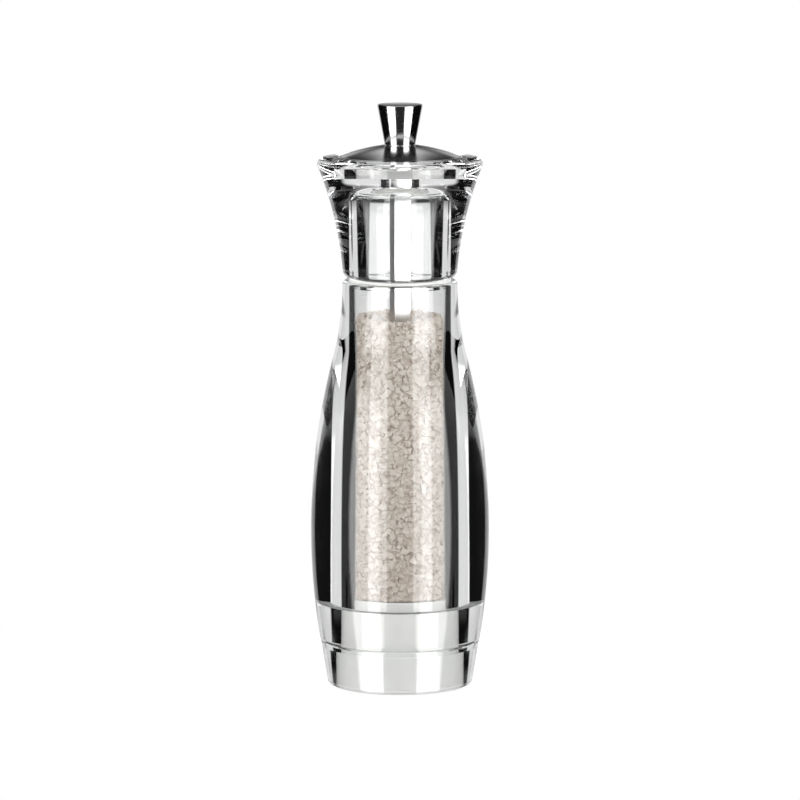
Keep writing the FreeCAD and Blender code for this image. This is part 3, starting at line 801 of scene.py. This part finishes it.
@dataclass
class SteelCap:
    """The domed cap plate and the conical adjusting knob. Sizes are in millimetres."""

    plate_radius: float = 18.9
    plate_seat: float = 162.4
    plate_edge: float = 0.7
    plate_edge_round: float = 0.3
    plate_top: float = 166.55
    plate_sheet: float = 1.0
    plate_rim_width: float = 2.0
    plate_flat_radius: float = 5.35
    dome_arc: float = 62.0
    plate_hole: float = 3.7
    knob_foot: float = 166.95
    knob_top: float = 179.05
    knob_low_radius: float = 4.75
    knob_high_radius: float = 6.95
    knob_edge: float = 0.35
    knob_bore_radius: float = 2.48
    knob_bore_top: float = 177.05

    def build_plate(self) -> bpy.types.Object:
        """Turns the pressed cap plate."""
        under = self.plate_top - self.plate_sheet
        edge_top = self.plate_seat + self.plate_edge
        lathe = Lathe(self.plate_hole, under)
        lathe.line_to(self.plate_flat_radius, under)
        lathe.arc_to(
            self.plate_radius - self.plate_rim_width, self.plate_seat, self.dome_arc, Bulge.LEFT
        )
        lathe.line_to(self.plate_radius, self.plate_seat)
        lathe.line_to(self.plate_radius, edge_top - self.plate_edge_round)
        lathe.arc_to(
            self.plate_radius - self.plate_edge_round, edge_top, self.plate_edge_round, Bulge.RIGHT
        )
        lathe.arc_to(self.plate_flat_radius, self.plate_top, self.dome_arc, Bulge.RIGHT)
        lathe.line_to(self.plate_hole, self.plate_top)
        return lathe.turn("cap_plate")

    def build_knob(self) -> bpy.types.Object:
        """Turns the knob with its eased top edge and its blind bore."""
        lathe = Lathe(self.knob_bore_radius, self.knob_foot)
        lathe.line_to(self.knob_low_radius, self.knob_foot)
        lathe.line_to(self.knob_high_radius, self.knob_top - self.knob_edge)
        lathe.arc_to(self.knob_high_radius - self.knob_edge, self.knob_top, self.knob_edge, Bulge.RIGHT)
        lathe.line_to(0.0, self.knob_top)
        lathe.line_to(0.0, self.knob_bore_top)
        lathe.line_to(self.knob_bore_radius, self.knob_bore_top)
        return lathe.turn("turned_knob")

    def assemble(self, plate_steel: bpy.types.Material, knob_steel: bpy.types.Material) -> None:
        """Builds the plate and the knob and sets them on their bodies."""
        settle(self.build_plate(), plate_steel, "head", "polished_steel", "dome_plate")
        settle(self.build_knob(), knob_steel, "knob", "polished_steel", "adjusting_knob")


@dataclass
class SaltFill:
    """Coarse salt in the bore: a packed heart, the crystals round it and the collar under it.

    Sizes are in millimetres.
    """

    radius: float = 13.75
    heart_radius: float = 12.9
    foot: float = 28.6
    floor_foot: float = 25.3
    floor_top: float = 28.3
    floor_radius: float = 13.95
    floor_round: float = 0.5
    rim_height: float = 113.4
    dip: float = 4.0
    spindle_room: float = 4.3
    grain: float = 1.55
    grain_spread: float = 0.4
    grain_least: float = 0.6
    grain_chip: float = 0.16
    grain_inset: float = 0.45
    foot_sink: float = 0.2
    spacing: float = 1.2
    jitter: float = 0.4
    wall_scatter: tuple[float, float] = (-0.5, 0.1)
    top_scatter: tuple[float, float] = (-0.5, 0.2)
    ring_scatter: tuple[float, float] = (-0.3, 0.3)
    seed: int = 11
    draws: random.Random = field(init=False)

    def __post_init__(self) -> None:
        """Starts the fill's own draws."""
        self.draws = random.Random(self.seed)

    def surface_height(self, radius: float) -> float:
        """The height of the heaped salt at a radius."""
        share = (self.radius - radius) / (self.radius - self.spindle_room)
        return self.rim_height - self.dip * share

    def build_heart(self) -> bpy.types.Object:
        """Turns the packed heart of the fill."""
        sink = self.grain / 2
        lathe = Lathe(self.spindle_room, self.foot)
        lathe.line_to(self.heart_radius, self.foot)
        lathe.line_to(self.heart_radius, self.surface_height(self.heart_radius) - sink)
        lathe.line_to(self.spindle_room, self.surface_height(self.spindle_room) - sink)
        return lathe.turn("salt_heart")

    def build_floor(self) -> bpy.types.Object:
        """Turns the grinder's collar, which closes the bore under the salt."""
        lathe = Lathe(self.spindle_room, self.floor_foot)
        lathe.line_to(self.floor_radius, self.floor_foot)
        lathe.line_to(self.floor_radius, self.floor_top - self.floor_round)
        lathe.arc_to(self.floor_radius - self.floor_round, self.floor_top, self.floor_round, Bulge.RIGHT)
        lathe.line_to(self.spindle_room, self.floor_top)
        return lathe.turn("bore_collar")

    def add_grain(self, mesh: bmesh.types.BMesh, radius: float, angle: float, height: float) -> None:
        """Adds one broken crystal.

        Args:
            mesh: The bmesh of all crystals.
            radius: The crystal's distance from the axis.
            angle: Its angle round the axis.
            height: Its height.
        """
        draw = self.draws.uniform
        size = self.grain * draw(1 - self.grain_spread, 1 + self.grain_spread)
        place = Matrix.Translation(
            Vector((radius * math.cos(angle), radius * math.sin(angle), height)) * MM
        )
        turn = Matrix.Rotation(draw(0, math.tau), 4, Vector((draw(-1, 1), draw(-1, 1), draw(-1, 1))))
        least = self.grain_least
        shape = Matrix.Diagonal((draw(least, 1.0), draw(least, 1.0), draw(least, 1.0), 1.0))
        made = bmesh.ops.create_cube(mesh, size=size * MM, matrix=place @ turn @ shape)
        reach = size * MM * self.grain_chip
        for vert in made["verts"]:
            vert.co += Vector((draw(-reach, reach), draw(-reach, reach), draw(-reach, reach)))
            out = math.hypot(vert.co.x, vert.co.y)
            if out > self.radius * MM:
                vert.co.x *= self.radius * MM / out
                vert.co.y *= self.radius * MM / out
            vert.co.z = max(vert.co.z, (self.foot - self.foot_sink) * MM)

    def wall_row(self, row: int) -> bpy.types.Mesh:
        """One ring of crystals against the bore.

        Args:
            row: The ring's number, counted from the foot.

        Returns:
            The ring's mesh.
        """
        mesh = bmesh.new()
        draw = self.draws.uniform
        inset = self.grain * self.grain_inset
        around = int(math.tau * self.radius / self.spacing)
        for step in range(around):
            angle = (step + row % 2 / 2 + draw(-self.jitter, self.jitter)) / around * math.tau
            height = self.foot + (row + draw(-self.jitter, self.jitter)) * self.spacing
            spot = self.radius - inset + draw(*self.wall_scatter)
            self.add_grain(mesh, spot, angle, max(height, self.foot + inset))
        return loose_mesh(mesh)

    def top_row(self, radius: float) -> bpy.types.Mesh:
        """One ring of crystals on the heaped top.

        Args:
            radius: The ring's radius.

        Returns:
            The ring's mesh.
        """
        mesh = bmesh.new()
        draw = self.draws.uniform
        count = int(math.tau * radius / self.spacing)
        for step in range(count):
            angle = (step + draw(-self.jitter, self.jitter)) / count * math.tau
            spot = radius + draw(*self.ring_scatter)
            self.add_grain(mesh, spot, angle, self.surface_height(spot) + draw(*self.top_scatter))
        return loose_mesh(mesh)

    def build_grains(self) -> bpy.types.Object:
        """Scatters crystals over the wall of the fill and over its top."""
        rows = int((self.rim_height - self.foot) / self.spacing)
        rings = [self.wall_row(row) for row in range(rows + 1)]
        first = self.spindle_room + self.grain / 2
        for ring in range(int((self.radius - first) / self.spacing)):
            rings.append(self.top_row(first + ring * self.spacing))
        mesh = bmesh.new()
        for ring in rings:
            mesh.from_mesh(ring)
            bpy.data.meshes.remove(ring)
        return finish_mesh(mesh, "salt_crystals", sharp_from=0.0)

    def assemble(self, salt: bpy.types.Material, white: bpy.types.Material) -> None:
        """Builds the fill and the collar under it and sets them in the mill's body."""
        settle(self.build_floor(), white, "mill_body", "white_plastic")
        settle(self.build_heart(), salt, "mill_body", "sea_salt", "salt_fill")
        settle(self.build_grains(), salt, "mill_body", "sea_salt", "salt_fill")


@dataclass
class ReturnSpring:
    """The coil spring between the drive bush and the rotor. Sizes are in millimetres."""

    radius: float = 4.686
    wire_radius: float = 0.4
    low: float = 13.42
    high: float = 18.18
    turns: float = 3.5
    turn_steps: int = 48
    wire_sides: int = 12
    sharp_from: float = math.radians(50.0)

    def build(self) -> bpy.types.Object:
        """Winds the wire's round section up the coil and closes both ends."""
        mesh = bmesh.new()
        start = Matrix.Translation(Vector((self.radius, 0.0, self.low)) * MM)
        bmesh.ops.create_circle(
            mesh, segments=self.wire_sides, radius=self.wire_radius * MM,
            matrix=start @ Matrix.Rotation(math.pi / 2, 4, "X"),
        )
        steps = round(self.turns * self.turn_steps)
        climb = (self.high - self.low) * MM / steps
        bmesh.ops.spin(
            mesh, geom=mesh.verts[:] + mesh.edges[:], cent=ORIGIN, axis=AXIS_Z, dvec=(0.0, 0.0, climb),
            angle=math.tau * self.turns, steps=steps, use_duplicate=False,
        )
        bmesh.ops.holes_fill(mesh, edges=[edge for edge in mesh.edges if edge.is_boundary])
        bmesh.ops.recalc_face_normals(mesh, faces=mesh.faces)
        return finish_mesh(mesh, "return_spring", self.sharp_from)

    def assemble(self, steel: bpy.types.Material) -> None:
        """Sets the spring between the spindle and the drive bush."""
        spring = self.build()
        dress(spring, steel)
        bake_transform(spring)
        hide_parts("rotor_spring")
        LOG.info("%s: %d faces between spindle and drive_bush", spring.name, len(spring.data.polygons))


@dataclass
class Grinder:
    """The pieces of the grinder and the drive, which keep their shapes and get their finishes here."""

    white: tuple[str, ...] = ("mechanism_housing", "stator_retainer", "drive_disc")
    nylon: tuple[str, ...] = ("head_glide_ring", "guide_bush", "thrust_washer")
    ceramic: tuple[str, ...] = ("stator_burr", "rotor_burr")
    steel: tuple[str, ...] = (
        "bearing_bridge", "bridge_screws", "rotor_washer", "rotor_screw", "knob_washer"
    )
    alloy: tuple[str, ...] = ("spindle",)
    rubber: tuple[str, ...] = ("housing_gasket",)

    def assemble(
        self, nodes: dict[str, bpy.types.Object], finishes: dict[str, bpy.types.Material]
    ) -> None:
        """Dresses each node.

        Args:
            nodes: The frame's nodes by name.
            finishes: Materials by the name of this class's field.
        """
        for finish, material in finishes.items():
            for name in getattr(self, finish):
                dress(nodes[name], material)
                LOG.info("%s: %s", name, material.name)


@dataclass(frozen=True)
class LightCard:
    """A soft-edged card of light, the same on both sides, that only glass and metal see.

    Angles are in degrees.
    """

    turn: tuple[float, float]
    rise: tuple[float, float]
    level: float
    edge: float

    def build(self, tree: Tree, turn: Socket, rise: Socket) -> Socket:
        """Makes the card's light in the world's tree.

        Args:
            tree: The world's tree.
            turn: How far a ray's way is turned from the front, in radians.
            rise: How far it rises over the horizon, in radians.

        Returns:
            The light's socket.
        """
        light: object = self.level
        for angle, (start, end) in ((turn, self.turn), (rise, self.rise)):
            opening = self._step(tree, angle, start, 0.0, 1.0)
            closing = self._step(tree, angle, end, 1.0, 0.0)
            light = math_node(tree, "MULTIPLY", math_node(tree, "MULTIPLY", opening, closing), light)
        return light

    def _step(self, tree: Tree, angle: Socket, place: float, before: float, after: float) -> Socket:
        """Adds one of the card's edges, from one value to another."""
        start, end = math.radians(place - self.edge), math.radians(place + self.edge)
        return soft_step(tree, angle, start, end, before, after)


@dataclass
class Studio:
    """The floor, the world, the lamps and the camera. Lengths are in metres, angles in degrees."""

    floor_reach: float = 12.0
    floor_drop: float = 0.0001
    floor_colour: Colour = (0.3, 0.3, 0.3)
    floor_roughness: float = 0.9
    floor_glow: float = 0.66
    shadow_near: float = 0.05
    shadow_far: float = 0.16
    camera_distance: float = 1.514
    camera_height: float = 0.306
    aim_height: float = 0.088
    lens: float = 224.0
    sensor: float = 36.0
    lamp_distance: float = 0.9
    lamp_height: float = 0.55
    lamp_angle: float = 58.0
    lamp_power: float = 4.6
    lamp_size: tuple[float, float] = (0.5, 0.8)
    top_place: tuple[float, float, float] = (0.0, -0.1, 1.1)
    top_power: float = 1.0
    top_size: tuple[float, float] = (0.6, 0.6)
    rear_power: float = 4.2
    room_light: float = 0.95
    wall_light: float = 0.004
    scatter_limit: float = 0.5
    cards: tuple[LightCard, ...] = (
        LightCard(turn=(146.0, 175.0), rise=(-34.0, 17.0), level=0.78, edge=3.0),
        LightCard(turn=(175.0, 200.0), rise=(-34.0, 4.5), level=0.78, edge=3.0),
        LightCard(turn=(28.0, 69.0), rise=(-34.0, 14.0), level=5.7, edge=3.0),
        LightCard(turn=(-20.0, 200.0), rise=(46.0, 110.0), level=0.6, edge=7.0),
        LightCard(turn=(174.0, 200.0), rise=(23.0, 46.0), level=1.2, edge=5.0),
        LightCard(turn=(-20.0, 200.0), rise=(-110.0, -34.0), level=0.75, edge=3.0),
        LightCard(turn=(-20.0, 26.0), rise=(-34.0, 14.0), level=0.03, edge=3.0),
    )

    def build_floor(self) -> None:
        """Lays the pale floor, which keeps a soft shadow near the foot."""
        mesh = bmesh.new()
        bmesh.ops.create_grid(
            mesh, x_segments=1, y_segments=1, size=self.floor_reach,
            matrix=Matrix.Translation((0.0, 0.0, -self.floor_drop)),
        )
        floor = finish_mesh(mesh, "floor", sharp_from=0.0)
        surface = Surface("pale_floor")
        tree = surface.tree
        reach = add_node(tree, "ShaderNodeVectorMath", operation="LENGTH")
        tree.links.new(surface.coordinates, reach.inputs[0])
        fade = soft_step(tree, reach.outputs["Value"], self.shadow_near, self.shadow_far)
        surface.put(
            base_color=colour4(self.floor_colour),
            roughness=self.floor_roughness,
            emission_color=colour4(WHITE),
            emission_strength=self.floor_glow,
        )
        surface.mix_in(fade, add_node(tree, "ShaderNodeEmission"))
        dress(floor, surface.material)
        floor.visible_glossy = False
        floor.visible_transmission = False

    def build_world(self) -> None:
        """Sets the world: white to the camera, cards to glass and metal, an even light to the rest."""
        world = bpy.data.worlds.new("studio")
        bpy.context.scene.world = world
        world.use_nodes = True
        tree = world.node_tree
        ground = next(node for node in tree.nodes if node.type == "BACKGROUND")
        parts = add_node(tree, "ShaderNodeSeparateXYZ")
        tree.links.new(add_node(tree, "ShaderNodeTexCoord").outputs["Generated"], parts.inputs[0])
        front = math_node(tree, "MULTIPLY", parts.outputs["Y"], -1.0)
        turn = math_node(tree, "ABSOLUTE", math_node(tree, "ARCTAN2", parts.outputs["X"], front))
        rise = math_node(tree, "ARCSINE", parts.outputs["Z"])
        cards: object = self.wall_light
        for card in self.cards:
            cards = math_node(tree, "ADD", card.build(tree, turn, rise), cards)
        path = add_node(tree, "ShaderNodeLightPath")
        clear = math_node(
            tree, "MAXIMUM", path.outputs["Is Glossy Ray"], path.outputs["Is Transmission Ray"]
        )
        scattered = math_node(tree, "GREATER_THAN", path.outputs["Diffuse Depth"], self.scatter_limit)
        mirror = math_node(tree, "GREATER_THAN", clear, scattered)
        seen = mix_colour(tree, mirror, colour4((self.room_light,) * 3), cards)
        shown = mix_colour(tree, path.outputs["Is Camera Ray"], seen, colour4(WHITE))
        tree.links.new(shown, ground.inputs["Color"])

    def stand(self, thing: bpy.types.Object, place: Vector) -> None:
        """Stands a lamp or the camera at a place and points it at the mill's middle."""
        thing.location = place
        aim = Vector((0.0, 0.0, self.aim_height)) - place
        thing.rotation_euler = aim.to_track_quat("-Z", "Y").to_euler()
        bpy.context.scene.collection.objects.link(thing)

    def add_lamp(self, name: str, place: Vector, power: float, size: tuple[float, float]) -> None:
        """Adds a softbox that points at the mill's middle.

        Args:
            name: The lamp's name.
            place: Where it stands.
            power: Its power in watts.
            size: Its width and height.
        """
        light = bpy.data.lights.new(name, "AREA")
        light.shape = "RECTANGLE"
        light.size, light.size_y = size
        light.energy = power
        lamp = bpy.data.objects.new(name, light)
        lamp.visible_glossy = False
        lamp.visible_transmission = False
        self.stand(lamp, place)

    def build_lamps(self) -> None:
        """Sets two softboxes in front, one above and one behind."""
        for name, side in (("softbox_left", -1), ("softbox_right", 1)):
            angle = math.radians(self.lamp_angle) * side
            place = Vector((math.sin(angle), -math.cos(angle), 0.0)) * self.lamp_distance
            place.z = self.lamp_height
            self.add_lamp(name, place, self.lamp_power, self.lamp_size)
        self.add_lamp("softbox_top", Vector(self.top_place), self.top_power, self.top_size)
        rear = Vector((0.0, self.lamp_distance, self.lamp_height))
        self.add_lamp("softbox_rear", rear, self.rear_power, self.lamp_size)

    def build_camera(self) -> None:
        """Sets the camera at the photograph's angle."""
        data = bpy.data.cameras.new("camera")
        data.lens = self.lens
        data.sensor_width = self.sensor
        camera = bpy.data.objects.new("camera", data)
        self.stand(camera, Vector((0.0, -self.camera_distance, self.camera_height)))
        bpy.context.scene.camera = camera

    def assemble(self) -> None:
        """Builds the stage and sets how colours are shown."""
        bpy.context.scene.view_settings.view_transform = "Standard"
        self.build_floor()
        self.build_world()
        self.build_lamps()
        self.build_camera()


def make_finishes(effects: Effects) -> dict[str, bpy.types.Material]:
    """Makes the finishes of the grinder and the drive.

    Args:
        effects: The shared effects.

    Returns:
        The materials by the name of the grinder's field.
    """
    recipes = {
        "white": Moulded(
            "white_plastic", dark=(0.72, 0.715, 0.70), light=(0.79, 0.785, 0.765), gloss=(0.3, 0.42)
        ),
        "nylon": Moulded("nylon", dark=(0.82, 0.82, 0.80), light=(0.90, 0.90, 0.88), gloss=(0.35, 0.5)),
        "ceramic": Moulded(
            "fired_ceramic", dark=(0.80, 0.78, 0.74), light=(0.88, 0.86, 0.83), gloss=(0.55, 0.75)
        ),
        "steel": TurnedSteel("plain_steel", gloss=(0.25, 0.4)),
        "alloy": DrawnAlloy(),
        "rubber": Moulded("silicone", dark=(0.70, 0.70, 0.70), light=(0.80, 0.80, 0.80), gloss=(0.6, 0.8)),
    }
    return {finish: recipe.build(effects) for finish, recipe in recipes.items()}


def main() -> None:
    """Loads the frame, builds and dresses every piece and sets the stage."""
    logging.basicConfig(level=logging.INFO, format="%(name)s: %(message)s")
    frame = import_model()
    effects = Effects()
    acrylic = ClearAcrylic().build(effects)
    ClearBody().assemble(acrylic)
    ClearHead().assemble(acrylic)
    plate_steel = TurnedSteel("cap_steel", gloss=(0.14, 0.22)).build(effects)
    knob_steel = TurnedSteel("knob_steel", gloss=(0.08, 0.16)).build(effects)
    SteelCap().assemble(plate_steel, knob_steel)
    finishes = make_finishes(effects)
    SaltFill().assemble(CoarseSalt().build(effects), finishes["white"])
    Grinder().assemble(frame["nodes"], finishes)
    ReturnSpring().assemble(finishes["steel"])
    Studio().assemble()


if __name__ == "__main__":
    main()
